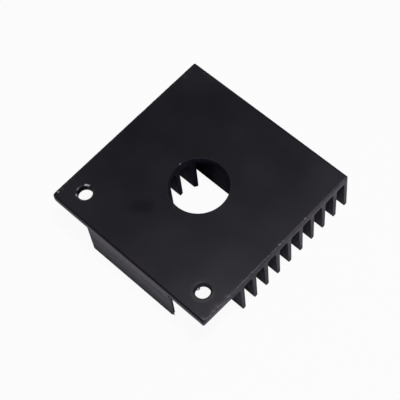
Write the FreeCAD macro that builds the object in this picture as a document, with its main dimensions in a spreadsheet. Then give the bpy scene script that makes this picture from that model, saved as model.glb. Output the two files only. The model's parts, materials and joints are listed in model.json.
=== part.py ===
"""Square finned heat sink, 40 mm across, for the flat end of a small motor.

One piece: an extruded aluminium section, sawn to length, bored through the middle,
milled back at two corners and drilled there for the motor's screws.

Frame: +Z up, X along the fins, Y across them. The sink stands on its fin tips, and the
origin is at the middle of the square that they stand on. The screw holes are on the -Y side.
"""
import FreeCAD, Part
import math
import os
import re

import Sketcher
from FreeCAD import Vector

# The sawn length and the outline of the section
sink_length = 40.0         # along the fins
sink_width = 40.0          # across the fins
sink_height = 11.0         # over plate and fins
plate_thickness = 2.0      # at the floor of a gap
plate_edge_radius = 0.35   # rounding of the plate's two long edges

# The fins and the gaps between them
fin_count = 13
fin_tip_thickness = 0.8    # at the tip, before it is rounded
fin_root_thickness = 1.05  # at the plate, without the fillet
fin_tip_flat = 0.2         # left between the two rounded corners of a tip
gap_floor_radius = 0.5     # fillet between a fin and the plate

# The bore for the motor's shaft
bore_radius = 6.0
bore_rim_chamfer = 0.1

# The screw holes: two corners of the motor's square pattern, centred on the bore
screw_spacing = 31.0
screw_hole_radius = 1.5    # for a 3 mm screw
screw_entry_width = 0.4    # of the shallow cone on the flat face
screw_entry_depth = 0.2
screw_exit_chamfer = 0.2   # under the thinned corner

# The corner reliefs, milled from below to make room for the screw heads
room_along_fins = 4.85     # from a screw's axis to the ends of the cut fins
room_across_fins = 3.0     # from a screw's axis to the back of the relief
cutter_into_plate = 0.25   # deeper than the floors of the gaps
cutter_corner_radius = 0.8

# How far a cutting outline is drawn past the metal
overrun = 1.0

doc = FreeCAD.newDocument("heat_sink")
sizes = doc.addObject("Spreadsheet::Sheet", "Sizes")
size_names = []


def write_sizes(**values):
    """Give each driving size a row of the sheet and name its cell."""
    for name, value in values.items():
        size_names.append(name)
        row = len(size_names)
        sizes.set("A%d" % row, name)
        sizes.set("B%d" % row, str(value))
        sizes.setAlias("B%d" % row, name)


write_sizes(
    sink_length=sink_length, sink_width=sink_width, sink_height=sink_height,
    plate_thickness=plate_thickness, plate_edge_radius=plate_edge_radius)
write_sizes(
    fin_count=fin_count, fin_tip_thickness=fin_tip_thickness,
    fin_root_thickness=fin_root_thickness, fin_tip_flat=fin_tip_flat,
    gap_floor_radius=gap_floor_radius)
write_sizes(
    bore_radius=bore_radius, bore_rim_chamfer=bore_rim_chamfer,
    screw_spacing=screw_spacing, screw_hole_radius=screw_hole_radius,
    screw_entry_width=screw_entry_width, screw_entry_depth=screw_entry_depth,
    screw_exit_chamfer=screw_exit_chamfer)
write_sizes(
    room_along_fins=room_along_fins, room_across_fins=room_across_fins,
    cutter_into_plate=cutter_into_plate, cutter_corner_radius=cutter_corner_radius,
    overrun=overrun)
doc.recompute()

# From one fin to the next, with both outer fins flush with the plate
FIN_PITCH = "(sink_width - fin_tip_thickness) / (fin_count - 1)"
fin_pitch = (sink_width - fin_tip_thickness) / (fin_count - 1)

# The level that the reliefs are milled to
RELIEF_FLOOR = "(sink_height - plate_thickness + cutter_into_plate)"
relief_floor = sink_height - plate_thickness + cutter_into_plate

body = doc.addObject("PartDesign::Body", "heat_sink")
body.Label = "heat_sink"


def bind(item, prop, formula):
    """Tie a property to the sheet; the formula names its sizes as above."""
    any_size = r"\b(%s)\b" % "|".join(size_names)
    item.setExpression(prop, re.sub(any_size, r"Sizes.\1", formula))


def origin_part(role):
    """One of the body's own origin planes or axes."""
    return next(item for item in body.Origin.OriginFeatures if item.Role == role)


def new_sketch(name, plane):
    """An empty sketch on one of the body's origin planes."""
    sketch = body.newObject("Sketcher::SketchObject", name)
    sketch.AttachmentSupport = [(origin_part(plane), "")]
    sketch.MapMode = "FlatFace"
    return sketch


def add_path(sketch, points):
    """Straight edges through the points, each joined to the next; gives their numbers."""
    numbers = []
    for start, end in zip(points, points[1:]):
        edge = Part.LineSegment(Vector(*start, 0), Vector(*end, 0))
        numbers.append(sketch.addGeometry(edge, False))
    for first, second in zip(numbers, numbers[1:]):
        fix(sketch, "Coincident", first, 2, second, 1)
    return numbers


def add_arc(sketch, centre, radius, first_angle, last_angle):
    """An arc drawn anticlockwise between two angles in degrees; gives its number."""
    circle = Part.Circle(Vector(*centre, 0), Vector(0, 0, 1), radius)
    bow = Part.ArcOfCircle(circle, math.radians(first_angle), math.radians(last_angle))
    return sketch.addGeometry(bow, False)


def fix(sketch, kind, *where):
    """A constraint without a size."""
    sketch.addConstraint(Sketcher.Constraint(kind, *where))


def measure(sketch, name, formula, kind, *where):
    """A constraint whose size the sheet drives."""
    number = sketch.addConstraint(Sketcher.Constraint(kind, *where))
    sketch.renameConstraint(number, name)
    bind(sketch, "Constraints." + name, formula)


def cut_up(name, sketch, depth=None):
    """Cut a sketch away upwards from its plane, to a depth or through everything."""
    pocket = body.newObject("PartDesign::Pocket", name)
    pocket.Profile = sketch
    pocket.Reversed = True
    if depth is None:
        pocket.Type = "ThroughAll"
    else:
        bind(pocket, "Length", depth)
    doc.recompute()
    return pocket


def edges_where(shape, wanted):
    """Names of the edges that pass a test, for a fillet or chamfer."""
    numbered = enumerate(shape.Edges, start=1)
    return ["Edge%d" % number for number, edge in numbered if wanted(edge)]


def near(first, second):
    """True where two lengths agree to a hundredth of a millimetre."""
    return abs(first - second) < 0.01


def round_long_edges(name, base, level, radius):
    """Round the two outer edges that run along the bar at one level."""
    def is_long_edge(edge):
        box = edge.BoundBox
        flat = near(box.ZMin, level) and near(box.ZMax, level)
        return flat and near(box.XLength, sink_length)
    fillet = body.newObject("PartDesign::Fillet", name)
    fillet.Base = (base, edges_where(base.Shape, is_long_edge))
    bind(fillet, "Radius", radius)
    doc.recompute()


def make_bar():
    """The solid bar that the whole section fits in, with its four long edges rounded."""
    half = sink_width / 2
    outline = new_sketch("bar_outline", "YZ_Plane")
    base, right, roof, left = add_path(outline, [
        (-half, 0), (half, 0), (half, sink_height), (-half, sink_height), (-half, 0)])
    fix(outline, "Coincident", left, 2, base, 1)
    fix(outline, "Horizontal", base)
    fix(outline, "Vertical", right)
    fix(outline, "Horizontal", roof)
    fix(outline, "Vertical", left)
    fix(outline, "Symmetric", base, 1, base, 2, -1, 1)
    measure(outline, "width", "sink_width", "DistanceX", base, 1, base, 2, sink_width)
    measure(outline, "height", "sink_height", "DistanceY", right, 1, right, 2, sink_height)
    bar = body.newObject("PartDesign::Pad", "bar")
    bar.Profile = outline
    bar.SideType = "Symmetric"
    bind(bar, "Length", "sink_length")
    doc.recompute()
    round_long_edges("plate_edges", bar, sink_height, "plate_edge_radius")
    round_long_edges("outer_fin_tips", body.Tip, 0, "(fin_tip_thickness - fin_tip_flat) / 2")


def draw_gap():
    """One tapered gap: its mouth rounds the two fin tips, and its floor is filleted."""
    gap = new_sketch("gap_outline", "YZ_Plane")
    mouth = (fin_pitch - fin_tip_thickness) / 2
    floor = (fin_pitch - fin_root_thickness) / 2
    depth = sink_height - plate_thickness
    tip = (fin_tip_thickness - fin_tip_flat) / 2
    fillet = gap_floor_radius
    ear = mouth + tip

    left_ear, base, right_ear = add_path(
        gap, [(-ear, 0), (-ear, -overrun), (ear, -overrun), (ear, 0)])
    right_tip = add_arc(gap, (ear, tip), tip, 180, 270)
    right_side, = add_path(gap, [(mouth, tip), (floor, depth - fillet)])
    right_floor = add_arc(gap, (floor - fillet, depth - fillet), fillet, 0, 90)
    roof, = add_path(gap, [(floor - fillet, depth), (fillet - floor, depth)])
    left_floor = add_arc(gap, (fillet - floor, depth - fillet), fillet, 90, 180)
    left_side, = add_path(gap, [(-floor, depth - fillet), (-mouth, tip)])
    left_tip = add_arc(gap, (-ear, tip), tip, 270, 360)

    fix(gap, "Vertical", left_ear)
    fix(gap, "Horizontal", base)
    fix(gap, "Vertical", right_ear)
    fix(gap, "PointOnObject", right_ear, 2, -1)
    fix(gap, "Coincident", right_ear, 2, right_tip, 2)
    fix(gap, "Coincident", left_ear, 1, left_tip, 1)
    fix(gap, "Vertical", right_tip, 2, right_tip, 3)
    fix(gap, "Vertical", left_tip, 1, left_tip, 3)
    fix(gap, "Tangent", right_tip, 1, right_side, 1)
    fix(gap, "Tangent", right_side, 2, right_floor, 1)
    fix(gap, "Tangent", right_floor, 2, roof, 1)
    fix(gap, "Tangent", roof, 2, left_floor, 1)
    fix(gap, "Tangent", left_floor, 2, left_side, 1)
    fix(gap, "Tangent", left_side, 2, left_tip, 2)
    fix(gap, "Equal", right_tip, left_tip)
    fix(gap, "Equal", right_floor, left_floor)
    fix(gap, "Symmetric", right_tip, 3, left_tip, 3, -2)
    fix(gap, "Symmetric", right_floor, 3, left_floor, 3, -2)

    mouth_mark = gap.addGeometry(Part.Point(Vector(mouth, 0, 0)), True)
    floor_mark = gap.addGeometry(Part.Point(Vector(floor, depth, 0)), True)
    fix(gap, "PointOnObject", mouth_mark, 1, right_side)
    fix(gap, "PointOnObject", mouth_mark, 1, -1)
    fix(gap, "PointOnObject", floor_mark, 1, right_side)
    fix(gap, "PointOnObject", floor_mark, 1, roof)
    measure(gap, "half_mouth", "(%s - fin_tip_thickness) / 2" % FIN_PITCH,
            "DistanceX", -1, 1, mouth_mark, 1, mouth)
    measure(gap, "half_floor", "(%s - fin_root_thickness) / 2" % FIN_PITCH,
            "DistanceX", -1, 1, floor_mark, 1, floor)
    measure(gap, "depth", "sink_height - plate_thickness",
            "DistanceY", -1, 1, floor_mark, 1, depth)
    measure(gap, "below", "overrun", "DistanceY", right_ear, 1, right_ear, 2, overrun)
    measure(gap, "tip_radius", "(fin_tip_thickness - fin_tip_flat) / 2",
            "Radius", right_tip, tip)
    measure(gap, "floor_radius", "gap_floor_radius", "Radius", right_floor, fillet)
    return gap


def make_gaps():
    """Cut the first gap along the whole bar, then repeat it across."""
    gap = draw_gap()
    bind(gap, "AttachmentOffset.Base.x", "-(fin_count - 2) / 2 * " + FIN_PITCH)
    first_gap = body.newObject("PartDesign::Pocket", "first_gap")
    first_gap.Profile = gap
    first_gap.SideType = "Symmetric"
    first_gap.Type = "ThroughAll"
    doc.recompute()
    row = body.newObject("PartDesign::LinearPattern", "row_of_gaps")
    row.Originals = [first_gap]
    row.Direction = (origin_part("Y_Axis"), [""])
    row.Mode = "Spacing"
    bind(row, "Offset", FIN_PITCH)
    bind(row, "Occurrences", "fin_count - 1")
    body.Tip = row
    doc.recompute()


def mirror(name, original):
    """Repeat a cut on the other side of the middle, along the fins."""
    twin = body.newObject("PartDesign::Mirrored", name)
    twin.Originals = [original]
    twin.MirrorPlane = (origin_part("YZ_Plane"), [""])
    body.Tip = twin
    doc.recompute()


def make_reliefs():
    """Mill the outer fins away round both screws, a little way into the plate."""
    fin_end = screw_spacing / 2 - room_along_fins
    back = screw_spacing / 2 - room_across_fins
    front = sink_width / 2 + overrun
    side = sink_length / 2 + overrun
    corner = cutter_corner_radius
    relief = new_sketch("relief_outline", "XY_Plane")
    back_wall, side_wall, front_wall, fin_ends = add_path(relief, [
        (fin_end + corner, -back), (side, -back), (side, -front),
        (fin_end, -front), (fin_end, -back - corner)])
    turn = add_arc(relief, (fin_end + corner, -back - corner), corner, 90, 180)

    fix(relief, "Horizontal", back_wall)
    fix(relief, "Vertical", side_wall)
    fix(relief, "Horizontal", front_wall)
    fix(relief, "Vertical", fin_ends)
    fix(relief, "Tangent", fin_ends, 2, turn, 2)
    fix(relief, "Tangent", turn, 1, back_wall, 1)
    measure(relief, "fin_end", "screw_spacing / 2 - room_along_fins",
            "DistanceX", -1, 1, fin_ends, 2, fin_end)
    measure(relief, "side", "sink_length / 2 + overrun",
            "DistanceX", -1, 1, side_wall, 1, side)
    measure(relief, "back", "screw_spacing / 2 - room_across_fins",
            "DistanceY", back_wall, 1, -1, 1, back)
    measure(relief, "front", "sink_width / 2 + overrun",
            "DistanceY", front_wall, 1, -1, 1, front)
    measure(relief, "corner_radius", "cutter_corner_radius", "Radius", turn, corner)
    doc.recompute()
    mirror("both_reliefs", cut_up("first_relief", relief, RELIEF_FLOOR))


def make_bore():
    """The round bore through the plate and the middle fins."""
    ring = new_sketch("bore_circle", "XY_Plane")
    circle = Part.Circle(Vector(0, 0, 0), Vector(0, 0, 1), bore_radius)
    bore = ring.addGeometry(circle, False)
    fix(ring, "Coincident", bore, 3, -1, 1)
    measure(ring, "radius", "bore_radius", "Radius", bore, bore_radius)
    cut_up("bore", ring)


def draw_screw_hole():
    """Half a screw hole: a cone under the thinned corner, the wall, and the flat face's cone."""
    hole = new_sketch("screw_hole_outline", "XZ_Plane")
    out = screw_spacing / 2
    wall = out + screw_hole_radius
    mouth = wall + screw_exit_chamfer
    entry = wall + screw_entry_width
    exit_top = relief_floor + screw_exit_chamfer
    entry_foot = sink_height - screw_entry_depth
    base, below, exit_cone, side, entry_cone, above, roof, axis = add_path(hole, [
        (out, -overrun), (mouth, -overrun), (mouth, relief_floor), (wall, exit_top),
        (wall, entry_foot), (entry, sink_height), (entry, sink_height + overrun),
        (out, sink_height + overrun), (out, -overrun)])
    fix(hole, "Coincident", axis, 2, base, 1)
    for line in (base, roof):
        fix(hole, "Horizontal", line)
    for line in (below, side, above, axis):
        fix(hole, "Vertical", line)
    measure(hole, "along", "screw_spacing / 2", "DistanceX", -1, 1, base, 1, out)
    measure(hole, "radius", "screw_hole_radius", "DistanceX", axis, 1, side, 2, screw_hole_radius)
    measure(hole, "entry_width", "screw_entry_width",
            "DistanceX", entry_cone, 1, entry_cone, 2, screw_entry_width)
    measure(hole, "entry_depth", "screw_entry_depth",
            "DistanceY", entry_cone, 1, entry_cone, 2, screw_entry_depth)
    measure(hole, "exit_width", "screw_exit_chamfer",
            "DistanceX", exit_cone, 2, exit_cone, 1, screw_exit_chamfer)
    measure(hole, "exit_depth", "screw_exit_chamfer",
            "DistanceY", exit_cone, 1, exit_cone, 2, screw_exit_chamfer)
    measure(hole, "floor", RELIEF_FLOOR, "DistanceY", -1, 1, below, 2, relief_floor)
    measure(hole, "face", "sink_height", "DistanceY", -1, 1, entry_cone, 2, sink_height)
    measure(hole, "under", "overrun", "DistanceY", base, 1, -1, 1, overrun)
    measure(hole, "over", "overrun", "DistanceY", above, 1, above, 2, overrun)
    return hole, "Edge%d" % (axis + 1)


def make_screw_holes():
    """Drill and countersink a hole in each thinned corner, as one turned cut."""
    outline, axis = draw_screw_hole()
    bind(outline, "AttachmentOffset.Base.z", "screw_spacing / 2")
    hole = body.newObject("PartDesign::Groove", "first_screw_hole")
    hole.Profile = outline
    hole.ReferenceAxis = (outline, [axis])
    hole.Angle = 360
    doc.recompute()
    mirror("both_screw_holes", hole)


def break_bore_rim():
    """Chamfer the bore where it opens into the flat face."""
    def is_rim(edge):
        if not isinstance(edge.Curve, Part.Circle) or not edge.isClosed():
            return False
        return near(edge.Curve.Radius, bore_radius) and near(edge.Curve.Center.z, sink_height)
    base = body.Tip
    rim = body.newObject("PartDesign::Chamfer", "bore_rim")
    rim.Base = (base, edges_where(base.Shape, is_rim))
    bind(rim, "Size", "bore_rim_chamfer")
    doc.recompute()


def check_document():
    """Stop if a feature failed or the sink isn't one valid solid."""
    for item in doc.Objects:
        if "Invalid" in item.State or "Error" in item.State:
            raise RuntimeError("failed feature: " + item.Label)
    shape = body.Shape
    if shape.isNull() or not shape.isValid() or len(shape.Solids) != 1:
        raise RuntimeError("the heat sink isn't one valid solid")


make_bar()
make_gaps()
make_reliefs()
make_bore()
break_bore_rim()
make_screw_holes()
check_document()

print("volume %.1f mm3, box %s" % (body.Shape.Volume, body.Shape.BoundBox))
os.makedirs("parts", exist_ok=True)
body.Shape.exportStep("parts/%s.step" % body.Label)
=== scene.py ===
# %% [markdown]
# # A small black heat sink
#
# The object is one length of extruded aluminium: a square plate with thirteen fins under it. It was
# sawn off a long bar, bored through the middle, milled back at two corners, drilled there for two
# screws, and anodised black. This lesson makes it much as the workshop does: first the section and
# the bar, then the finishes with the marks that each tool left, then the cuts, and at last the light.
#
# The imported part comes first. It is the measured model, and everything here has to fit it.

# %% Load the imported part
import json
import math

import bpy
import numpy as np
from mathutils import Matrix, Vector


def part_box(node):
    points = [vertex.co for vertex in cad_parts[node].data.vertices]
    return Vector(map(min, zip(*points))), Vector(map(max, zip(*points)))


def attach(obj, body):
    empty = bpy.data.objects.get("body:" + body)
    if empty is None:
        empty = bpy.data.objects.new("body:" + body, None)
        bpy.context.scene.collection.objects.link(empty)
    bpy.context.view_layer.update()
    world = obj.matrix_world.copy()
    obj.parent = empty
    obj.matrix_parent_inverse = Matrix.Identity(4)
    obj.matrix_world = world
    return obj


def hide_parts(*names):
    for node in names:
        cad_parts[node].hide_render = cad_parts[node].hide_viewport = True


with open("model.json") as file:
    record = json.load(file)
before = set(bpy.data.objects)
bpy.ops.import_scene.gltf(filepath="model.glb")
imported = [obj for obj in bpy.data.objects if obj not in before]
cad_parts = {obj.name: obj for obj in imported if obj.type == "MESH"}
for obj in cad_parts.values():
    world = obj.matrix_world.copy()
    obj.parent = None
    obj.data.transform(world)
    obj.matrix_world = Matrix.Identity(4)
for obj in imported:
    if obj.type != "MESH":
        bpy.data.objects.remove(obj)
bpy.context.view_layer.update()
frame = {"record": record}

mm = 0.001

# %% [markdown]
# ## Sizes
#
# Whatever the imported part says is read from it: the outer sizes from its box, and the bore and the
# screw holes from the mounts in its record. The rest are the section's own sizes. They are the
# driving sizes of the measured model, written once here and used by every formula below. Only the
# plate's long edge has a finer form here: two arcs, a tight one and a wide one, instead of one.

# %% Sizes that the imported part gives
low, high = (np.array(corner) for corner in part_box("heat_sink"))
length, width, height = high - low
mounts = {mount["name"]: mount["dims"] for mount in frame["record"]["mounts"]}
bore_radius = mounts["centre_bore"]["r_mm"] * mm
screw_radius = mounts["screw_holes"]["hole_r_mm"] * mm
screw_reach = mounts["screw_holes"]["spacing_x_mm"] / 2 * mm
print("length, width, height in mm:", np.round(np.array([length, width, height]) / mm, 2).tolist())

# %% Sizes of the section
fin_count = 13
plate_thickness = 2.0 * mm
edge_roll = 0.55 * mm
edge_roll_end = math.radians(40)
edge_corner = 0.25 * mm
fin_tip = 0.8 * mm
fin_root = 1.05 * mm
tip_radius = 0.3 * mm
floor_radius = 0.5 * mm
pitch = (width - fin_tip) / (fin_count - 1)
gap_depth = height - plate_thickness
print("from one fin to the next, mm:", round(pitch / mm, 3))

# %% [markdown]
# ## The section
#
# A section like this could be drawn as a curve by hand, or modelled with boxes and bevels. It is
# worked out instead, because it is made of straight lines and arcs that touch without a corner, and
# arithmetic keeps them touching whatever the sizes are. One gap is half an outline and its mirror
# image. Repeating the gap across the width draws all the fins at once.

# %% One gap between two fins
def bow(centre, radius, first, last, steps=5):
    """Points on a circle: the centre plus the radius times (cos a, sin a), a from first to last."""
    angle = np.linspace(first, last, steps)
    return np.asarray(centre) + radius * np.stack([np.cos(angle), np.sin(angle)], 1)


def gap_outline():
    """One gap as points (y, z), from the middle of one fin's tip to the middle of the next.

    The side of a fin leans by an angle whose tangent is half the fin's growth over its height. The
    tip's arc has its centre one radius inside that side, and the floor's arc one radius outside it.
    """
    lean = math.atan((fin_root - fin_tip) / 2 / gap_depth)
    mouth = (pitch - fin_tip) / 2
    tip_side = mouth - tip_radius * math.tan(lean)
    floor_side = mouth - (gap_depth - floor_radius) * math.tan(lean)
    tip_centre = (tip_side + tip_radius / math.cos(lean), tip_radius)
    floor_centre = (floor_side - floor_radius / math.cos(lean), gap_depth - floor_radius)
    right = np.concatenate([
        [[pitch / 2, 0]],
        bow(tip_centre, tip_radius, 1.5 * math.pi, math.pi + lean),
        bow(floor_centre, floor_radius, lean, 0.5 * math.pi, steps=6),
        [[0, gap_depth]]])
    return np.concatenate([right * (-1, 1), right[-2::-1]])


gap = gap_outline()
print("points in one gap:", len(gap))

# %% The whole section
top_point_pitch = 0.16 * mm


def plate_edge(half):
    """The plate's long edge: a tight corner off the side, then a wide arc that rolls onto the top.

    Both arcs touch where the normal stands at edge_roll_end, so the tight one's centre lies on the
    wide one's radius there.
    """
    turn = np.array([math.cos(edge_roll_end), math.sin(edge_roll_end)])
    between = (edge_roll - edge_corner) * turn
    wide_centre = np.array([half - edge_corner - between[0], height - edge_roll])
    corner = bow(wide_centre + between, edge_corner, 0, edge_roll_end, steps=4)
    roll = bow(wide_centre, edge_roll, edge_roll_end, 0.5 * math.pi, steps=8)
    return np.concatenate([corner, roll[1:]])


def section_outline():
    """The section as points (y, z), anticlockwise: gaps, right side, flat top, left side."""
    half = width / 2
    shift = (np.arange(fin_count - 1) - (fin_count - 2) / 2) * pitch
    gaps = gap[None, :-1] + np.stack([shift, 0 * shift], 1)[:, None]
    tip = bow((half - tip_radius, tip_radius), tip_radius, -0.5 * math.pi, 0)
    side = np.concatenate([tip, plate_edge(half)])
    reach = side[-1, 0]
    count = int(round(2 * reach / top_point_pitch))
    across = np.linspace(reach, -reach, count + 1)[1:-1]
    top = np.stack([across, np.full(count - 1, height)], 1)
    middle_of_tip = [[half - fin_tip / 2, 0]]
    return np.concatenate([gaps.reshape(-1, 2), middle_of_tip, side, top, side[::-1] * (-1, 1)])


def outward(outline):
    """The outline's own normals: the way from the point before to the point after, turned right."""
    along = np.roll(outline, -1, 0) - np.roll(outline, 1, 0)
    along = along / np.linalg.norm(along, axis=1, keepdims=True)
    return np.stack([along[:, 1], -along[:, 0]], 1)


section = section_outline()
section_normal = outward(section)
print("points in the section:", len(section))

# %% [markdown]
# ## The bar
#
# The bar is the section carried along a straight path. A saw doesn't leave a perfectly sharp edge:
# after tumbling and anodising each sawn edge is round by about a tenth of a millimetre, less so on
# the fins, and a little uneven. A Bevel modifier could do that, but it would treat every edge alike.
# Here the last few sections of the path shrink by the height of a quarter circle, whose radius
# wanders from point to point, so that the edge catches the light unevenly as the real one does.

# %% Even noise for worn edges
chance = np.random.default_rng(7)


def wander(count, knots):
    """A closed row of numbers from -1 to 1: random knots, joined by smooth steps."""
    knot = chance.uniform(-1, 1, knots)
    place = np.arange(count) / count * knots
    whole = place.astype(int)
    part = place - whole
    part = part * part * (3 - 2 * part)
    return knot[whole % knots] * (1 - part) + knot[(whole + 1) % knots] * part


# %% The bar as a grid of sections
saw_edge_radius = 0.13 * mm
saw_edge_wander = 0.04 * mm
fin_edge_share = 0.4
worn_from = 1.4 * mm
worn_to = 0.6 * mm
saw_edge_knots = 260
steps_in = np.array([0.2, 0.32, 0.5, 0.8, 1.2, 2.0, 4.0, 8.0, 14.0]) * mm


def end_rows():
    """One end of the bar: distances from the sawn face, and how far each section shrinks.

    Along the quarter circle the distance is r (1 - sin a) and the shrinking r (1 - cos a). The radius
    is smaller on the fins, and full near the top, where the edge is most worn.
    """
    worn = np.clip((worn_from - (height - section[:, 1])) / (worn_from - worn_to), 0, 1)
    radius = saw_edge_radius + saw_edge_wander * wander(len(section), saw_edge_knots)
    radius = radius * (fin_edge_share + (1 - fin_edge_share) * worn)
    angle = np.radians([90, 60, 30, 0])[:, None]
    distance = np.concatenate([radius * (1 - np.sin(angle)),
                               np.repeat(steps_in[:, None], len(section), 1)])
    shrink = np.concatenate([radius * (1 - np.cos(angle)), np.zeros((len(steps_in), len(section)))])
    return distance, shrink


def bar_grid():
    """The bar's points, section after section from -X to +X: each is the outline less its shrinking."""
    near_distance, near_shrink = end_rows()
    far_distance, far_shrink = end_rows()
    x = np.concatenate([near_distance - length / 2, length / 2 - far_distance[::-1]])
    shrink = np.concatenate([near_shrink, far_shrink[::-1]])
    yz = section - shrink[..., None] * section_normal
    return np.concatenate([x[..., None], yz], 2)


grid = bar_grid()
print("sections along the bar:", grid.shape[0])

# %% [markdown]
# ## Knocks
#
# The soft metal has been knocked along the upper sawn edge, and two corners are a little blunt. A
# knock is a dent whose depth falls off with distance as a bell curve. Pushing the grid's points in
# before the faces are made keeps the dents part of the shape, so they show from every side. The
# points of the sawn face itself only slide within their plane, which keeps it flat.

# %% Push the knocks into the grid
top_edge = (length / 2, height)
knocks = [
    # y along the upper edge of the +X end, width and depth of the dent, all in mm
    (13.3, 0.16, 0.05),
    (12.2, 0.20, 0.04),
    (7.7, 0.20, 0.09),
    (0.6, 0.22, 0.08),
    (-3.7, 0.16, 0.05),
    (-7.0, 0.20, 0.04),
    (-9.6, 0.36, 0.04),
    (-13.5, 0.45, 0.05),
    (-16.2, 0.60, 0.06),
    (-17.3, 0.40, 0.05),
]
blunt_corners = [
    # corner as signs of x and y, then the way it is pushed in, in mm
    ((-1, -1), (0.14, 0.16, -0.18)),
    ((1, -1), (-0.16, 0.06, -0.14)),
]
knock_way = np.array([-0.7, 0, -0.7])
corner_width = 0.6 * mm


def dent(points, centre, size, push):
    """Move points by push times the bell curve exp(-(distance / size)^2) round the centre."""
    away = np.linalg.norm(points - centre, axis=-1)
    return points + np.exp(-(away / size) ** 2)[..., None] * push


for y, size, depth in knocks:
    push = knock_way * depth * mm
    grid = dent(grid, (top_edge[0], y * mm, top_edge[1]), size * mm, push)
for (side_x, side_y), push in blunt_corners:
    corner = (side_x * length / 2, side_y * width / 2, height)
    grid = dent(grid, corner, corner_width, np.array(push) * mm)
grid[0, :, 0] = -length / 2
grid[-1, :, 0] = length / 2
print("knocks:", len(knocks) + len(blunt_corners))

# %% [markdown]
# ## From numbers to a mesh
#
# A grid of points becomes faces by joining each point to the next one round and the next one along.
# All the face numbers are worked out as arrays too, and one call puts them into the mesh. Both ends
# are closed by one face each, so that the bar is a solid that can be cut.

# %% Grid to mesh
def mesh_from_grid(name, points):
    """A closed tube from rows of points, each row a loop: one quad to a cell, one face to an end."""
    rows, around = points.shape[:2]
    here = np.arange(rows * around).reshape(rows, around)
    beside = np.roll(here, -1, 1)
    quads = np.stack([here[:-1], beside[:-1], beside[1:], here[1:]], -1).reshape(-1, 4)
    faces = quads.tolist() + [here[0, ::-1].tolist(), here[-1].tolist()]
    mesh = bpy.data.meshes.new(name)
    mesh.from_pydata(points.reshape(-1, 3), [], faces)
    mesh.update()
    made = bpy.data.objects.new(name, mesh)
    bpy.context.collection.objects.link(made)
    return made


def volume(mesh):
    """Volume from the faces: a third of centre times normal times area, added up."""
    count = len(mesh.polygons)
    centre, normal, area = np.empty(count * 3), np.empty(count * 3), np.empty(count)
    mesh.polygons.foreach_get("center", centre)
    mesh.polygons.foreach_get("normal", normal)
    mesh.polygons.foreach_get("area", area)
    return float(((centre * normal).reshape(-1, 3).sum(1) * area).sum() / 3)


bar = mesh_from_grid("heat_sink_finished", grid)
print("bar volume, mm3:", round(volume(bar.data) / mm ** 3, 1))

# %% [markdown]
# ## Shader arithmetic
#
# A finish is a set of formulas over the surface: how rough, how bright, how worn it is at a place.
# Wiring those as nodes by hand hides the formulas. The class below wraps one socket, and Python's
# own operators add the Math nodes, so that a mask can be written as 1 - wear.

# %% A socket that can be reckoned with
class Field:
    """A number or vector that varies over the surface: one output socket of a node tree."""

    def __init__(self, socket):
        self.socket = socket

    def node(self, kind, settings=None, inputs=None, output=0):
        """Add a node of any kind: its settings first, then the values or links of its sockets."""
        tree = self.socket.id_data
        made = tree.nodes.new("ShaderNode" + kind)
        for name, value in (settings or {}).items():
            setattr(made, name, value)
        for name, value in (inputs or {}).items():
            if isinstance(value, Field):
                tree.links.new(value.socket, made.inputs[name])
            else:
                made.inputs[name].default_value = value
        return Field(made.outputs[output])

    def maths(self, operation, *values):
        """A Math node on this and further values, in that order."""
        inputs = dict(enumerate((self,) + values))
        return self.node("Math", {"operation": operation}, inputs)

    def __add__(self, other):
        return self.maths("ADD", other)

    def __mul__(self, other):
        return self.maths("MULTIPLY", other)

    def __sub__(self, other):
        return self.maths("SUBTRACT", other)

    def __rsub__(self, other):
        return self.node("Math", {"operation": "SUBTRACT"}, {0: other, 1: self})

    def size(self):
        """The number without its sign."""
        return self.maths("ABSOLUTE")

    def at_most(self, other):
        """The smaller of two numbers, at each place."""
        return self.maths("MINIMUM", other)

    def at_least(self, other):
        """The larger of two numbers, at each place."""
        return self.maths("MAXIMUM", other)

    def ramp(self, low, high):
        """0 at low, 1 at high and a smooth step between; low may be the larger one."""
        limits = {"Value": self, "From Min": low, "From Max": high}
        return self.node("MapRange", {"interpolation_type": "SMOOTHSTEP"}, limits)

    def levels(self, low, high):
        """A mask spread from low to high instead of from 0 to 1."""
        return self * (high - low) + low

    def stretched(self, x, y, z):
        """A vector with each direction multiplied by its own number."""
        return self.node("VectorMath", {"operation": "MULTIPLY"}, {0: self, 1: (x, y, z)})

    def noise(self, scale, detail, roughness):
        """Cloudy noise about 0.5 at this place; scale is features to a metre."""
        return self.node("TexNoise", inputs={
            "Vector": self, "Scale": scale, "Detail": detail, "Roughness": roughness})

    def along(self, axis):
        """One coordinate of a vector: X, Y or Z."""
        return self.node("SeparateXYZ", inputs={0: self}, output="XYZ".index(axis))

    def away_from(self, centre):
        """Distance from a point."""
        return self.node("VectorMath", {"operation": "DISTANCE"}, {0: self, 1: centre}, 1)


def colour_mix(amount, first, second):
    """A colour that goes from first to second as the amount goes from 0 to 1."""
    inputs = {0: amount, 6: first, 7: second}
    return amount.node("Mix", {"data_type": "RGBA"}, inputs, 2)
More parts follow.
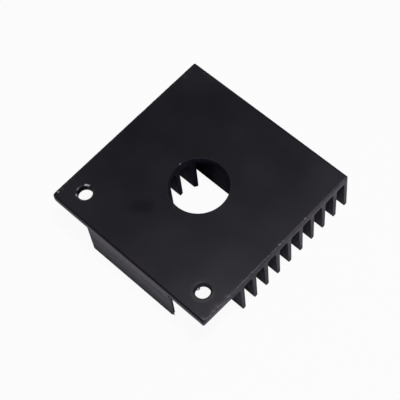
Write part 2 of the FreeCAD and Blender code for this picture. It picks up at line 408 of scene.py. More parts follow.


# %% [markdown]
# ## The finish
#
# Black anodising is a thin glassy oxide layer, dyed before it was sealed. It is nearly black looked
# at square on, and turns grey at a glancing angle, where it mirrors what is round it. So the shader
# is a plain glossy plastic-like one with a very dark colour, whose layer sends back a few hundredths
# of the light square on.
#
# Each tool left its own marks under that layer, and they decide how the surface glitters. The die
# drew fine lines along the fins, the saw left slanting arcs on both ends, the milling cutter left
# upright lines, and the drill left rings. Every surface gets the marks of its own tool as bump, with
# the dye a little cloudy and the gloss a little uneven. Where an edge rubbed, bare metal shows. In
# some places light and shade are painted in as well: a paler colour or bare metal for painted light
# and reflections, and a dark metallic layer for painted shade.

# %% Colours and amounts of the finish
dye = (0.0024, 0.0020, 0.0042, 1)
thin_dye = (0.0040, 0.0034, 0.0064, 1)
deep_dye = (0.0020, 0.0014, 0.0095, 1)
thin_deep_dye = (0.0034, 0.0024, 0.0115, 1)
# the next two colours are painted light: the first on the top and in the screw holes, the second in the
# bore and the gaps
painted_light_colour = (0.034, 0.032, 0.037, 1)
gap_painted_light = (0.052, 0.047, 0.064, 1)
layer_tint = (0.945, 0.906, 1.0, 1)
bare_metal = (0.62, 0.61, 0.63, 1)
oxide_gloss = 0.443
oxide_roughness = 0.37
metal_roughness = 0.34
per_mm = 1 / mm
# noise is given as features to a metre, detail and roughness; a cut is what a ramp makes 0 and 1
cloud_noise = (0.12 * per_mm, 3.0, 0.5)
grain_noise = (9.0 * per_mm, 3.0, 0.65)
cloud_cut = (0.35, 0.75)
grain_cut = (0.4, 0.8)
cloud_in_dye = 0.6
cloud_in_gloss = 0.10
grain_in_gloss = 0.14
grain_in_relief = 0.25


# %% One anodised finish
def anodised(name, marks, mark_depth, bare=None, painted_light=None, shine=oxide_gloss,
             rough=oxide_roughness, pale=painted_light_colour, matt=None, dyes=(dye, thin_dye)):
    """One anodised finish: tool marks as bump, cloudy dye, uneven gloss, and masks for wear and for
    painted light and shade.

    marks(place) gives the height of the tool's marks from 0 to 1, and mark_depth is their real depth.
    The mask after it is 1 where bare metal shows, in some places from wear, in others as a painted
    reflection. The next one is 1 where the colour turns to pale, which paints light and sheen.
    matt(place) is 1 where shade is painted: the surface turns metallic on its dark colour and sends
    nothing back. rough is a number or a function of the place.
    """
    material = bpy.data.materials.new(name)
    material.use_nodes = True
    tree = material.node_tree
    shader = tree.nodes["Principled BSDF"]
    place = Field(tree.nodes.new("ShaderNodeTexCoord").outputs["Object"])

    cloud = place.noise(*cloud_noise)
    grain = place.noise(*grain_noise)
    cloudy = cloud.ramp(*cloud_cut) * cloud_in_dye + grain.ramp(*grain_cut) * (1 - cloud_in_dye)
    colour = colour_mix(cloudy, *dyes)
    gloss = (cloud - 0.5) * cloud_in_gloss + (grain - 0.5) * grain_in_gloss
    gloss = gloss + (rough(place) if callable(rough) else rough)
    relief = marks(place) * (1 - grain_in_relief) + grain * grain_in_relief
    bump = relief.node("Bump", inputs={"Height": relief, "Distance": mark_depth, "Strength": 1.0})
    # painted light: where this mask is high the colour turns to the pale one
    if painted_light:
        colour = colour_mix(painted_light(place), colour, pale)
    # bare metal, from wear in some places and as a painted reflection in others
    if bare:
        metal = bare(place)
        colour = colour_mix(metal, colour, bare_metal)
        gloss = gloss * (1 - metal) + metal * metal_roughness
        # painted shade: metallic on the dark dye, so nothing is sent back
        if matt:
            metal = metal.at_least(matt(place))
        tree.links.new(metal.socket, shader.inputs["Metallic"])
    for socket, value in {"Base Color": colour, "Roughness": gloss, "Normal": bump}.items():
        tree.links.new(value.socket, shader.inputs[socket])
    shader.inputs["Specular IOR Level"].default_value = shine
    shader.inputs["Specular Tint"].default_value = layer_tint
    return material


# %% The marks of each tool
die_squeeze = 0.012
die_noise = (3.2 * per_mm, 4.0, 0.6)
saw_centre = (0, -90 * mm, -60 * mm)
saw_spread = 0.04
saw_noise = (2.6 * per_mm, 4.0, 0.6)
cutter_squeeze = 0.03
cutter_noise = (4.0 * per_mm, 3.0, 0.6)
drill_squeeze = 0.05
drill_noise = (5.0 * per_mm, 3.0, 0.6)


def die_lines(place):
    """Fine lines along X: noise whose X is squeezed to a hundredth."""
    return place.stretched(die_squeeze, 1, 1).noise(*die_noise)


def saw_arcs(place):
    """Arcs about the saw's axis: noise of the distance from that axis, with a little of the place."""
    distance = place.stretched(0, 1, 1).away_from(saw_centre)
    spread = place.stretched(0, saw_spread, saw_spread)
    mixed = distance.node("CombineXYZ", inputs={"X": distance})
    both = mixed.node("VectorMath", {"operation": "ADD"}, {0: mixed, 1: spread})
    return both.noise(*saw_noise)


def cutter_lines(place):
    """Upright lines on a milled wall: noise whose Z is squeezed."""
    return place.stretched(1, 1, cutter_squeeze).noise(*cutter_noise)


def drill_rings(place):
    """Rings round a hole: noise of the height, with the other two directions squeezed."""
    return place.stretched(drill_squeeze, drill_squeeze, 1).noise(*drill_noise)


# %% [markdown]
# ## Masks
#
# A mask is a number from 0 to 1 over the surface that says how far an effect goes there. All of the
# masks below come from three bricks. A span is a smooth step along one axis. A spot is a smooth step
# of the distance from a point. Noise becomes flecks when a steep ramp pushes its values apart.
# Multiplying two masks keeps what they share, and the larger of two joins them.
#
# Two pairs of numbers come up all the time: where a step starts and where it ends, in mm, and the
# levels that a mask is spread over. They are named before the function that reads them.

# %% Bricks for masks
side_skin = (0.08, 0.03)
spot_core = 0.4


def span(place, axis, start, end):
    """0 where a coordinate is at start, 1 where it is at end, smooth between; both in mm."""
    return place.along(axis).ramp(start * mm, end * mm)


def fade(distance, none, full):
    """0 where a distance is none, 1 where it is full, and smooth between; both in mm."""
    return distance.ramp(none * mm, full * mm)


def below_top(place):
    """Depth under the flat face."""
    return height - place.along("Z")


def behind_end(place):
    """Depth behind the +X sawn end."""
    return length / 2 - place.along("X")


def from_axis(place, x, y):
    """Distance from the upright axis at x and y."""
    return place.stretched(1, 1, 0).away_from((x, y, 0))


def on_side(place):
    """1 on the two outer sides, in a skin a few hundredths of a millimetre deep."""
    return fade(width / 2 - place.along("Y").size(), *side_skin)


def spots(place, listed, core=spot_core):
    """Soft round spots: for each centre, radius and strength a smooth step of the distance to it."""
    total = None
    for centre, radius, strength in listed:
        spot = fade(place.away_from([value * mm for value in centre]), radius, radius * core)
        total = spot * strength if total is None else total.at_least(spot * strength)
    return total


# %% Where bare metal shows from wear, and a painted reflection on the outer sides
strip_along = ("X", 15, 8)
strip_tall = ("Z", 6.4, 9.9)
strip_levels = (0.4, 1)
strip_reflection = 0.05
edge_skin = (0.16, 0.03)
fleck_noise = (1.6 * per_mm, 3.0, 0.7)
fleck_cut = (0.60, 0.72)
fleck_bare = 0.35
cone_skin = (0.16, 0.09)
cone_noise = (1.4 * per_mm, 2.0, 0.6)
cone_cut = (0.25, 0.5)
nicks = [
    # where a knock went through the layer: centre, radius in mm, and how bare it is
    ((-19.56, -18.78, 11.0), 0.30, 0.35),
    ((-5.98, 1.00, 11.0), 0.24, 0.20),
    ((19.92, 7.75, 11.0), 0.20, 0.20),
    ((19.92, 0.62, 11.0), 0.20, 0.20),
]
bore_nicks = nicks[1:2]
bare_spots = [
    # on the cone of the -X screw hole: centre, radius in mm, and how bare it is
    ((-16.42, -13.95, 11.0), 0.70, 0.8),
    ((-17.18, -15.85, 11.0), 0.50, 0.12),
    ((-16.32, -16.86, 11.0), 0.40, 0.7),
]


def painted_side_reflection(place):
    """Painted reflection: on the outer sides a lighter strip under the plate's edge, less so towards
    +X.
    """
    share = span(place, *strip_along).levels(*strip_levels)
    return on_side(place) * span(place, *strip_tall) * share * strip_reflection


def edge_wear_and_side_reflection(place):
    """Worn flecks along the plate's upper edge where fine noise is high, the painted reflection strip,
    and the nicks.
    """
    x_gap = length / 2 - place.along("X").size()
    y_gap = width / 2 - place.along("Y").size()
    on_edge = fade(x_gap.at_most(y_gap), *edge_skin) * fade(below_top(place), *edge_skin)
    fleck = place.noise(*fleck_noise).ramp(*fleck_cut)
    # the flecks are wear, the strip is a painted reflection
    worn = (on_edge * fleck * fleck_bare).at_least(painted_side_reflection(place))
    return worn.at_least(spots(place, nicks))


def worn_rims(place):
    """The cone of the screw hole on the -X side is bare in three stretches."""
    uneven = place.noise(*cone_noise).ramp(*cone_cut)
    return spots(place, bare_spots) * fade(below_top(place), *cone_skin) * uneven


def bore_nick(place):
    """The nick in the bore's rim, on the bore's own side of it."""
    return spots(place, bore_nicks)


# %% Painted light on the sawn ends, and in the gaps seen through the bore
end_light_right = ("Y", 4, 20)
end_light_corner = ("Y", -12, -14)
end_light_above = ("Z", 6, 8.2)
end_light_below = ("Z", 10.3, 9.8)
end_light_levels = (0.3, 1)
end_light_share = 0.07
deep_centre = (-9.2 * mm, 1 * mm)
deep_reach = (3.6, 2)
bore_gap_light = 0.1


def painted_end_light_and_wear(place):
    """Painted reflection on the sawn ends: lighter towards +Y, most in a band under the plate, and at
    the -Y corner; and the edge wear.
    """
    high = (span(place, *end_light_above) * span(place, *end_light_below)).levels(*end_light_levels)
    end_light = (span(place, *end_light_right) * high).at_least(span(place, *end_light_corner))
    return (end_light * end_light_share).at_least(edge_wear_and_side_reflection(place))


def painted_light_in_bore_gaps(place):
    """Painted light: seen through the bore, the gaps on its -X side are lighter."""
    return fade(from_axis(place, *deep_centre), *deep_reach) * bore_gap_light


# %% Painted light on the top
corner_reach = (17.5, 26)
corner_pale = 0.16
narrow_band = (0.34, 0.14)
narrow_deep = (0.5, 0.3)
narrow_along = ("Y", -14, -9)
wide_band = (1.0, 0.1)
wide_along = ("Y", -9, -15)
band_noise = (0.9 * per_mm, 3.0, 0.65)
band_cut = (0.35, 0.65)
narrow_uneven = (0.4, 0.8)
narrow_levels = (0.3, 1)
wide_uneven = (0.12, 0.52)
ring_levels = (0.12, 0.47)
ring_inner = 1.75 * mm
ring_outer = 2.2 * mm
ring_soft = 0.3 * mm
front_start = -0.5 * mm
front_end = 1.6 * mm
pale_spots = [
    # painted highlights beside the plate's upper edges and the bore: centre, radius in mm, and how pale
    ((-19.10, 16.30, 11.0), 0.60, 0.25),
    ((-19.25, 17.80, 11.0), 0.40, 0.22),
    ((-16.90, 19.30, 11.0), 0.50, 0.20),
    ((-15.60, 19.20, 11.0), 0.50, 0.20),
    ((-14.40, 19.20, 11.0), 0.40, 0.22),
    ((-19.40, -17.80, 11.0), 0.45, 0.40),
    ((-19.50, -16.30, 11.0), 0.45, 0.22),
    ((-19.60, -15.00, 11.0), 0.40, 0.20),
    ((-3.00, -5.45, 11.0), 0.40, 0.14),
    ((-0.40, -6.60, 11.0), 0.45, 0.14),
    ((6.70, -0.50, 11.0), 0.45, 0.14),
]


def ring_round(place, side):
    """1 between two distances from a screw hole's axis, with soft borders."""
    away = from_axis(place, side * screw_reach, -screw_reach)
    outside = away.ramp(ring_outer + ring_soft, ring_outer)
    return away.ramp(ring_inner, ring_inner + ring_soft) * outside


def towards_corner(place, side):
    """0 beyond a screw hole's middle, 1 in front of it, towards +X and -Y."""
    middle = (side + 1) * screw_reach
    return (place.along("X") - place.along("Y")).ramp(middle + front_start, middle + front_end)


def pale_top(place):
    """Painted light: paler corners, a highlight on the +X sawn edge and a band near it, a lit ring
    round the +X screw hole, and spots.
    """
    corners = fade(from_axis(place, 0, 0), *corner_reach) * corner_pale
    uneven = place.noise(*band_noise).ramp(*band_cut)
    narrow = fade(behind_end(place), *narrow_band) * fade(below_top(place), *narrow_deep)
    narrow = narrow * uneven.levels(*narrow_uneven) * span(place, *narrow_along).levels(*narrow_levels)
    ring = ring_round(place, 1) * towards_corner(place, 1).levels(*ring_levels)
    wide = fade(behind_end(place), *wide_band) * span(place, *wide_along)
    wide = wide * uneven.levels(*wide_uneven)
    return ring.at_least(wide).at_least(narrow).at_least(spots(place, pale_spots)) + corners


# %% Painted light in the holes and the gaps
plus_x = ("X", 0, 1)
minus_x = ("X", 0, -1)
cone_deep = (0.30, 0.10)
cone_pale = 0.8
drilled_pale = 0.3
cone_spots = [((-14.7, -14.15, 11.0), 0.8, 0.6)]
bore_left = ("X", 0, -3)
bore_near = ("Y", 4.5, 2.5)
bore_rim = ("Z", 8.6, 11.2)
bore_rim_levels = (0.48, 0.26)
off_the_tips = ("Z", 0.5, 5)
bore_wall_levels = (0.10, 0.34)
end_far = (9, 17)
end_close = (17.4, 20.4)
end_levels = (1, 0.6)
gap_tall = ("Z", 1, 7)
gap_levels = (0.75, 1.15)
bore_side = (-5 * mm, 0)
bore_reach = (6, 4)
bore_across = ("Y", 1, 2.2)
bore_across_levels = (0.9, 0.4)
bore_tall_levels = (0.5, 1)


def pale_cones(place):
    """Painted light: paler near halves of both screw holes' cones, a spot, and faintly all of the +X
    hole.
    """
    both = towards_corner(place, 1) * span(place, *plus_x)
    both = both + towards_corner(place, -1) * span(place, *minus_x)
    both = both.at_least(spots(place, cone_spots))
    cones = both * fade(below_top(place), *cone_deep) * cone_pale
    return cones.at_least(span(place, *plus_x) * drilled_pale)


def pale_bore(place):
    """Painted light: the bore's wall is paler near its upper rim, and on the -X side."""
    left = span(place, *bore_left) * span(place, *bore_near)
    rim = span(place, *bore_rim) * left.levels(*bore_rim_levels)
    return (left * span(place, *off_the_tips).levels(*bore_wall_levels)).at_least(rim)


def beside_end(place):
    """Between the fins: 0 deep inside, 1 from 3 mm behind the sawn end, and less again right at it."""
    out = place.along("X").size()
    return fade(out, *end_far) * fade(out, *end_close).levels(*end_levels)


def pale_gaps(place):
    """Painted light between the fins: paler beside the ends, more so near the plate, and at the bore.
    """
    near_end = beside_end(place) * span(place, *gap_tall).levels(*gap_levels)
    near_bore = fade(from_axis(place, *bore_side), *bore_reach)
    near_bore = near_bore * span(place, *bore_across).levels(*bore_across_levels)
    return near_end + near_bore * span(place, *off_the_tips).levels(*bore_tall_levels)


# %% Where the layer is dull
low_side = ("Z", 9.5, 4)
streak_squeeze = 0.02
streak_noise = (1.3 * per_mm, 4.0, 0.7)
streak_cut = (0.42, 0.68)
burnt_from = ("X", -10.3, -10.6)
burnt_under = ("Z", 9.3, 9.1)
burnt_side = ("Y", 0, -1)
under_skin = (0.12, 0.04)
under_tall = ("Z", 9.9, 10.6)
far_skin = (0.30, 0.12)
far_deep = (0.5, 0.2)
far_noise = (0.5 * per_mm, 3.0, 0.6)
far_cut = (0.40, 0.55)
# how much roughness each of them adds
low_dull, streak_dull, burnt_dull = 0.07, 0.16, 0.4
under_dull, far_dull, patch_dull = 0.2, 0.35, -0.07
dark_spots = [
    # a long dark patch on the top, as three round ones: centre, radius in mm, and strength
    ((-5.9, -11.2, 11.0), 2.5, 0.9),
    ((-5.2, -10.5, 11.0), 2.3, 1.0),
    ((-4.5, -9.8, 11.0), 2.5, 0.9),
]


def side_roughness(place):
    """The outer sides: rougher lower down, streaky, and on the -Y one dull under the edge.

    There is also a dull line at the end of the outer fin on the -Y side, towards -X.
    """
    low = span(place, *low_side) * low_dull
    streak = place.stretched(streak_squeeze, 0, 1).noise(*streak_noise).ramp(*streak_cut)
    streak = streak * streak_dull
    burnt = span(place, *burnt_from) * span(place, *burnt_under) * span(place, *burnt_side)
    under = fade(place.along("Y") + width / 2, *under_skin) * span(place, *under_tall)
    return on_side(place) * (low + streak + burnt * burnt_dull) + under * under_dull


def top_roughness(place):
    """The sides as above, two far edges that are dull in places, and a smoother dark patch."""
    far = (place.along("X") + length / 2).at_most(width / 2 - place.along("Y"))
    far = fade(far, *far_skin) * fade(below_top(place), *far_deep)
    far = far * place.noise(*far_noise).ramp(*far_cut) * far_dull
    patch = spots(place, dark_spots, 0) * patch_dull
    return side_roughness(place) + far + patch + oxide_roughness


# %% Dull sawn ends and gaps
sawn_base = 0.36
blotch_noise = (0.8 * per_mm, 2.0, 0.6)
blotch_cut = (0.4, 0.65)
middle_start = ("Y", 4, -6)
middle_end = ("Y", -14, -12)
tips_low = ("Z", 3, 0.5)
tips_along = ("Y", -8, 0)
plate_tall = ("Z", 9.7, 10.2)
plate_along = ("Y", -9, -4)
right_start = ("Y", 5, 13)
right_end = ("Y", 20.6, 17.5)
right_low = ("Z", 8, 7)
blotch_dull, middle_dull, tips_dull = 0.08, 0.1, 0.16
plate_dull, right_dull = 0.08, 0.09
gap_base = 0.95
gap_end_gloss = 0.68
gap_low = ("Z", 6, 1)
gap_tip = ("Z", 0.8, 0.3)
gap_low_dull, gap_tip_dull = 0.2, 0.25


def sawn_roughness(place):
    """The sawn ends are blotchy, and duller in the middle, at the tips, above the gaps and to +Y."""
    blotch = place.noise(*blotch_noise).ramp(*blotch_cut) * blotch_dull
    middle = span(place, *middle_start) * span(place, *middle_end) * middle_dull
    tips = span(place, *tips_low) * span(place, *tips_along) * tips_dull
    plate = span(place, *plate_tall) * span(place, *plate_along) * plate_dull
    right = span(place, *right_start) * span(place, *right_end) * span(place, *right_low)
    return middle + tips.at_least(right * right_dull) + plate + blotch + sawn_base


def deep_roughness(place):
    """Between the fins the layer is dull deep inside and low down, and smoother beside the ends."""
    low = span(place, *gap_low) * gap_low_dull
    tip = span(place, *gap_tip) * gap_tip_dull
    return gap_base - beside_end(place) * (gap_end_gloss - low - tip)


# %% Painted shade: where the surface sends nothing back
roll_skin = (0.30, 0.05)
roll_tall = ("Z", 9.9, 10.75)
roll_shade = 0.5
past_bore = ("Y", 5.4, 5.8)
matt_start = ("X", -14, -9)
matt_end = ("X", 0.5, -4)


def painted_shade_on_roll(place):
    """Painted shade: the rolled edge on the -Y side, down to a millimetre below the top."""
    return fade(place.along("Y") + width / 2, *roll_skin) * span(place, *roll_tall) * roll_shade


def painted_shade_in_bore(place):
    """Painted shade: seen through the bore, the fin on its +Y side, towards -X."""
    return span(place, *past_bore) * span(place, *matt_start) * span(place, *matt_end)


# %% The six finishes
line_depth = 0.006 * mm
saw_depth = 0.008 * mm
deep_dyes = (deep_dye, thin_deep_dye)
extruded_black = anodised("extruded_black", die_lines, line_depth, edge_wear_and_side_reflection, pale_top,
                          rough=top_roughness, matt=painted_shade_on_roll)
sawn_black = anodised("sawn_black", saw_arcs, saw_depth, painted_end_light_and_wear,
                      shine=0.38, rough=sawn_roughness)
milled_black = anodised("milled_black", cutter_lines, line_depth)
bored_black = anodised("bored_black", drill_rings, line_depth, bore_nick, pale_bore,
                       shine=0.02, rough=0.7, pale=gap_painted_light, dyes=deep_dyes)
drilled_black = anodised("drilled_black", drill_rings, line_depth, worn_rims, pale_cones,
                         shine=0.21, rough=0.5)
gap_black = anodised("gap_black", die_lines, line_depth, painted_light_in_bore_gaps, pale_gaps,
                     shine=0.295, rough=deep_roughness, pale=gap_painted_light, matt=painted_shade_in_bore, dyes=deep_dyes)
finishes = (extruded_black, sawn_black, milled_black, bored_black, drilled_black, gap_black)
print("finishes:", [finish.name for finish in finishes])

# %% [markdown]
# ## The cuts
#
# The bore, the screw holes and the corner reliefs are cut as they are in the workshop: each tool is
# a closed shape, and a Boolean takes it away from the bar. Joining faces by hand round a bore that
# runs through three fins would be slow and hard to change. The tool's own shape also carries the
# small rounding at its rim, and its own finish, which the cut surfaces take over.

# %% Tools of revolution
def lathe(name, radius, z, around):
    """A round tool: at each height z its points are (r cos a, r sin a), a once round the circle.

    around is the number of points in the circle.
    """
    angle = np.linspace(0, 2 * math.pi, around, endpoint=False)
    ring = np.stack([np.cos(angle), np.sin(angle)], 1)
    xy = np.asarray(radius)[:, None, None] * ring
    tall = np.repeat(np.asarray(z)[:, None, None], around, 1)
    return mesh_from_grid(name, np.concatenate([xy, tall], 2))


flare_ends = 80
flare_steps = 7


def flare(radius, rim, wide, deep, past):
    """Radius and height of a hole's wall where it opens into a face at the height rim.

    The wall follows a quarter of an ellipse, wide by deep, to nearly level, and from there a
    straight cone past the face.
    """
    angle = np.radians(np.linspace(0, flare_ends, flare_steps))
    wall = radius + wide * (1 - np.cos(angle))
    level = rim - deep + deep * np.sin(angle)
    out = wall[-1] + (rim + past - level[-1]) * math.tan(math.radians(flare_ends)) * wide / deep
    return np.append(wall, out), np.append(level, rim + past)


below = -1.0 * mm
past_face = 0.15 * mm
bore_rounding = 0.12 * mm
wall, level = flare(bore_radius, height, bore_rounding, bore_rounding, past_face)
bore_tool = lathe("bore_tool", np.append(bore_radius, wall), np.append(below, level), around=160)
print("bore tool volume, mm3:", round(volume(bore_tool.data) / mm ** 3, 1))

# %% The drill for the screw holes, with a rim at both faces of the thin corner
corner_plate = 1.75 * mm
entry_width = 0.4 * mm
entry_depth = 0.2 * mm
exit_rounding = 0.2 * mm
relief_floor = height - corner_plate


def screw_tool(name, side):
    """The lathe's profile is the upper flare, and before it the lower one turned upside down."""
    wall, level = flare(screw_radius, height, entry_width, entry_depth, past_face)
    under_wall, under_level = flare(screw_radius, relief_floor, exit_rounding, exit_rounding, past_face)
    mirrored = 2 * relief_floor - under_level[::-1]
    radius = np.concatenate([under_wall[::-1], wall])
    tool = lathe(name, radius, np.concatenate([mirrored, level]), around=72)
    tool.data.transform(Matrix.Translation((side * screw_reach, -screw_reach, 0)))
    return tool


screw_tools = [screw_tool("screw_tool_left", -1), screw_tool("screw_tool_right", 1)]

# %% The milling cutter's path over a corner
room_along_fins = 4.85 * mm
room_across_fins = 3.0 * mm
cutter_radius = 0.8 * mm
beyond = 1.0 * mm
fin_end = screw_reach - room_along_fins
relief_back = screw_reach - room_across_fins


def relief_tool(name, side):
    """Two like outlines, one above the other: a rectangle whose inner corner is an arc."""
    corner = (fin_end + cutter_radius, -relief_back - cutter_radius)
    turn = bow(corner, cutter_radius, 0.5 * math.pi, math.pi, steps=9)
    outer_x = length / 2 + beyond
    outer_y = -width / 2 - beyond
    plan = np.concatenate([turn, [(fin_end, outer_y), (outer_x, outer_y), (outer_x, -relief_back)]])
    if side < 0:
        plan = (plan * (-1, 1))[::-1]
    floor = np.stack([np.full(len(plan), below), np.full(len(plan), relief_floor)])
    points = np.concatenate([np.stack([plan, plan]), floor[..., None]], 2)
    return mesh_from_grid(name, points)


relief_tools = [relief_tool("relief_tool_left", -1), relief_tool("relief_tool_right", 1)]
print("fins end this far from the middle, mm:", round(fin_end / mm, 2))

# %% A worn lower edge on the thin corner
worn_height = 0.5 * mm
worn_depth = 0.35 * mm


def worn_edge_tool(name):
    """A wedge under the +X corner's sawn edge: nothing at the relief's back, full at the corner."""
    back, front = -relief_back, -width / 2 - beyond
    x, z = length / 2, relief_floor
    out = np.array([(x + beyond, z - beyond), (x + beyond, z), (x, z), (x, z),
                    (x - beyond, z - beyond)])
    full = out + [(0, 0), (0, worn_height), (0, worn_height), (-worn_depth, 0), (0, 0)]
    rows = np.stack([np.insert(part, 1, y, 1) for part, y in ((out, back), (full, front))])
    return mesh_from_grid(name, rows)


# %% Three burrs, two that the cutter left and one that the drill left
burr_steps = 22
burr_thick = 0.16 * mm
burr_edge_share = 0.25
burr_inside = 0.01 * mm
burr_knots = 9
overlap = 0.1 * mm
fin_burr_tall = (0.9, 8.6)
fin_burr_share = (0.9, 0.75)
fin_burr_wander = 0.2
fin_burr_reach = 0.8 * mm
fin_burr_out = 0.04 * mm
fin_burr_drop = 0.1 * mm
edge_burr_along = (11.8, 19.7)
edge_burr_wander = 0.25
edge_burr_reach = 0.26 * mm
edge_burr_out = 0.03 * mm
drill_burr_turn = (156, 188)
drill_burr_wave = (0.1, 0.9)
drill_burr_reach = 0.42 * mm
drill_overlap = 0.06 * mm


def burr(name, foot, reach, thick):
    """A thin foil: rows of four points, two at its foot and two, closer together, at its free edge."""
    rows = np.stack([foot, foot + reach, foot + reach + thick * burr_edge_share, foot + thick], 1)
    return mesh_from_grid(name, rows)


def fin_burr():
    """On the outer fin's +X end, in the plane of its outer side; it reaches further near the tip."""
    z = np.linspace(*fin_burr_tall, burr_steps) * mm
    share = np.linspace(*fin_burr_share, burr_steps)
    share = share * (1 + fin_burr_wander * wander(burr_steps, burr_knots))
    every = np.ones(burr_steps)
    foot = np.stack([(fin_end - overlap) * every, (burr_inside - width / 2) * every, z], 1)
    reach = np.stack([overlap + fin_burr_reach * share, fin_burr_out * share,
                      -fin_burr_drop * share], 1)
    return burr("fin_burr", foot, reach, np.array([0, burr_thick, 0]))


def edge_burr():
    """Along the lower edge of the +X corner's outer side, hanging down."""
    x = np.linspace(*edge_burr_along, burr_steps) * mm
    share = 1 - edge_burr_wander + edge_burr_wander * wander(burr_steps, burr_knots)
    every = np.ones(burr_steps)
    foot = np.stack([x, (burr_inside - width / 2) * every, (relief_floor + overlap) * every], 1)
    reach = np.stack([0 * share, edge_burr_out * share, -overlap - edge_burr_reach * share], 1)
    return burr("edge_burr", foot, reach, np.array([0, burr_thick, 0]))


def drill_burr():
    """In the +X screw hole, above its lower rim on the -X side, reaching towards the hole's axis."""
    angle = np.radians(np.linspace(*drill_burr_turn, burr_steps))
    ring = np.stack([np.cos(angle), np.sin(angle), 0 * angle], 1)
    share = np.sin(np.linspace(*drill_burr_wave, burr_steps) * math.pi)[:, None]
    centre = np.array([screw_reach, -screw_reach, relief_floor + exit_rounding])
    foot = centre + ring * (screw_radius + drill_overlap)
    reach = -ring * (drill_overlap + drill_burr_reach * share)
    return burr("drill_burr", foot, reach, np.array([0, 0, burr_thick]))


# %% Cut them all away
def change(piece, tools, finish, operation="DIFFERENCE"):
    """Give the tools a finish and take them away from the piece, or join them to it, one by one."""
    for tool in tools:
        print(tool.name, "volume, mm3:", round(volume(tool.data) / mm ** 3, 2))
        tool.data.materials.append(finish)
        step = piece.modifiers.new(tool.name, "BOOLEAN")
        step.operation = operation
        step.solver = "EXACT"
        step.material_mode = "TRANSFER"
        step.object = tool
    scene_now = bpy.context.evaluated_depsgraph_get()
    shape = bpy.data.meshes.new_from_object(piece.evaluated_get(scene_now))
    piece.modifiers.clear()
    piece.data = shape
    for tool in tools:
        bpy.data.objects.remove(tool)
    print("volume now, mm3:", round(volume(shape) / mm ** 3, 1), "faces:", len(shape.polygons))


for finish in (extruded_black, sawn_black, gap_black):
    bar.data.materials.append(finish)
in_gap = np.arange(len(section)) < (fin_count - 1) * (len(gap) - 1)
slots = np.concatenate([np.tile(np.where(in_gap, 2, 0), len(grid) - 1), [1, 1]])
bar.data.polygons.foreach_set("material_index", slots.astype(np.int32))
change(bar, relief_tools, milled_black)
change(bar, [worn_edge_tool("worn_edge_tool")], sawn_black)
change(bar, [fin_burr(), edge_burr()], extruded_black, "UNION")
change(bar, [bore_tool], bored_black)
change(bar, screw_tools, drilled_black)
change(bar, [drill_burr()], milled_black, "UNION")

# %% [markdown]
# ## Shading
#
# Smooth shading with a limit on the angle keeps the roundings round and the cuts sharp. Weighted
# normals let the large flat faces decide, so that the narrow roundings don't bend the shading of the
# flat top.

# %% Smooth where it is round
sharp_angle = math.radians(38)
above_any_finish = 99


def shade(piece):
    """Smooth faces, sharp edges past the limit or between two finishes, normals weighted by area."""
    mesh = piece.data
    mesh.polygons.foreach_set("use_smooth", np.ones(len(mesh.polygons), bool))
    mesh.set_sharp_from_angle(angle=sharp_angle)
    finish, corners = np.empty((2, len(mesh.polygons)), np.int32)
    mesh.polygons.foreach_get("material_index", finish)
    mesh.polygons.foreach_get("loop_total", corners)
    edge, sharp = np.empty(len(mesh.loops), np.int32), np.empty(len(mesh.edges), bool)
    mesh.loops.foreach_get("edge_index", edge)
    mesh.edges.foreach_get("use_edge_sharp", sharp)
    lowest, highest = np.full(len(sharp), above_any_finish), np.zeros(len(sharp), int)
    np.minimum.at(lowest, edge, np.repeat(finish, corners))
    np.maximum.at(highest, edge, np.repeat(finish, corners))
    mesh.edges.foreach_set("use_edge_sharp", sharp | (lowest != highest))
    weigh = piece.modifiers.new("weighted_normals", "WEIGHTED_NORMAL")
    weigh.keep_sharp = True


shade(bar)
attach(bar, "root")
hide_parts("heat_sink")

# %% [markdown]
# ## Floor, light and camera
#
# The floor is a plain white board. To the camera it is mostly its own white, so that the picture's
# ground is white without more light on the object, and a mirrored ray sees a little of that too. The
# rest is a matt surface, which keeps the soft shadow. The light is a grey room and one soft lamp
# overhead.

# %% Floor
floor_half = 2.5
floor_drop = 0.02 * mm
board = (0.55, 0.53, 0.60, 1)
own_white = 0.94
floor_share = 0.05


def make_floor():
    """A square just under the plane of the fin tips."""
    corners = np.array([(-1, -1, 0), (1, -1, 0), (1, 1, 0), (-1, 1, 0)]) * floor_half
    mesh = bpy.data.meshes.new("floor")
    mesh.from_pydata(corners - (0, 0, floor_drop), [], [(0, 1, 2, 3)])
    floor = bpy.data.objects.new("floor", mesh)
    bpy.context.collection.objects.link(floor)
    return floor


def floor_material():
    """White by itself for the camera, a little so for mirrored rays, and else a matt white board."""
    material = bpy.data.materials.new("white_board")
    material.use_nodes = True
    tree = material.node_tree
    tree.nodes.remove(tree.nodes["Principled BSDF"])
    rays = tree.nodes.new("ShaderNodeLightPath").outputs
    mirrored = Field(rays["Is Glossy Ray"]).at_least(Field(rays["Is Transmission Ray"]))
    seen = Field(rays["Is Camera Ray"]).at_least(mirrored * floor_share)
    matt = seen.node("BsdfDiffuse", inputs={"Color": board})
    white = seen.node("Emission", inputs={"Color": (1, 1, 1, 1), "Strength": 1.0})
    both = seen.node("MixShader", inputs={0: seen * own_white, 1: matt, 2: white})
    tree.links.new(both.socket, tree.nodes["Material Output"].inputs["Surface"])
    return material


floor = make_floor()
floor.data.materials.append(floor_material())

# %% The room
backdrop_white = 0.94
backdrop_share = 0.12
wall_level = 0.3
ceiling_level = 0.06
ceiling_starts = 0.2
ceiling_full = 0.5


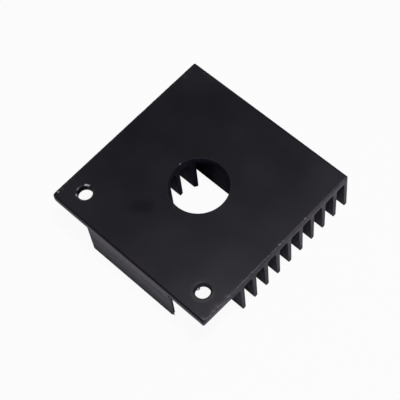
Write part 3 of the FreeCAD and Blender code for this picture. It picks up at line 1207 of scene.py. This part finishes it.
def make_room():
    """Grey walls under a dark ceiling, and a white backdrop for the camera.

    The level follows the height of the direction that is looked in. Mirrored rays see a share of the
    backdrop, but not in the ceiling.
    """
    world = bpy.data.worlds.new("pale_room")
    world.use_nodes = True
    tree = world.node_tree
    direction = Field(tree.nodes.new("ShaderNodeTexCoord").outputs["Generated"])
    ceiling = direction.along("Z").ramp(ceiling_starts, ceiling_full)
    grey = [(level, level, level, 1) for level in (wall_level, ceiling_level, backdrop_white)]
    rays = tree.nodes.new("ShaderNodeLightPath").outputs
    mirrored = Field(rays["Is Glossy Ray"]).at_least(Field(rays["Is Transmission Ray"]))
    seen = Field(rays["Is Camera Ray"]).at_least(mirrored * backdrop_share * (1 - ceiling))
    colour = colour_mix(seen, colour_mix(ceiling, grey[0], grey[1]), grey[2])
    tree.links.new(colour.socket, tree.nodes["Background"].inputs["Color"])
    bpy.context.scene.world = world


make_room()

# %% The lamp
lamp_place = Vector((60, 8, 300)) * mm
lamp_size = 90 * mm
lamp_power = 0.84


def make_lamp():
    """A soft round lamp that faces the middle of the object."""
    light = bpy.data.lights.new("softbox", "AREA")
    light.shape = "DISK"
    light.size = lamp_size
    light.energy = lamp_power
    lamp = bpy.data.objects.new("softbox", light)
    lamp.location = lamp_place
    lamp.rotation_euler = (-lamp_place).to_track_quat("-Z", "Y").to_euler()
    bpy.context.collection.objects.link(lamp)


make_lamp()

# %% Camera
# Where the middle of the picture meets the plate, and from where the camera looks at it
aim = Vector((2.303, -2.171, 11.0)) * mm
camera_distance = 234.37 * mm
camera_azimuth = math.radians(-38.474)
camera_elevation = math.radians(61.529)
camera_roll = math.radians(-9.343)
camera_lens = 111.45

away = Vector((math.cos(camera_elevation) * math.cos(camera_azimuth),
               math.cos(camera_elevation) * math.sin(camera_azimuth),
               math.sin(camera_elevation)))
camera = bpy.data.objects.new("camera", bpy.data.cameras.new("camera"))
camera.data.lens = camera_lens
camera.data.sensor_width = 36
camera.data.clip_start = 0.01
camera.location = aim + away * camera_distance
turned = (-away).to_track_quat("-Z", "Y").to_matrix() @ Matrix.Rotation(camera_roll, 3, "Z")
camera.rotation_euler = turned.to_euler()
bpy.context.collection.objects.link(camera)
bpy.context.scene.camera = camera
bpy.context.scene.view_settings.view_transform = "Standard"
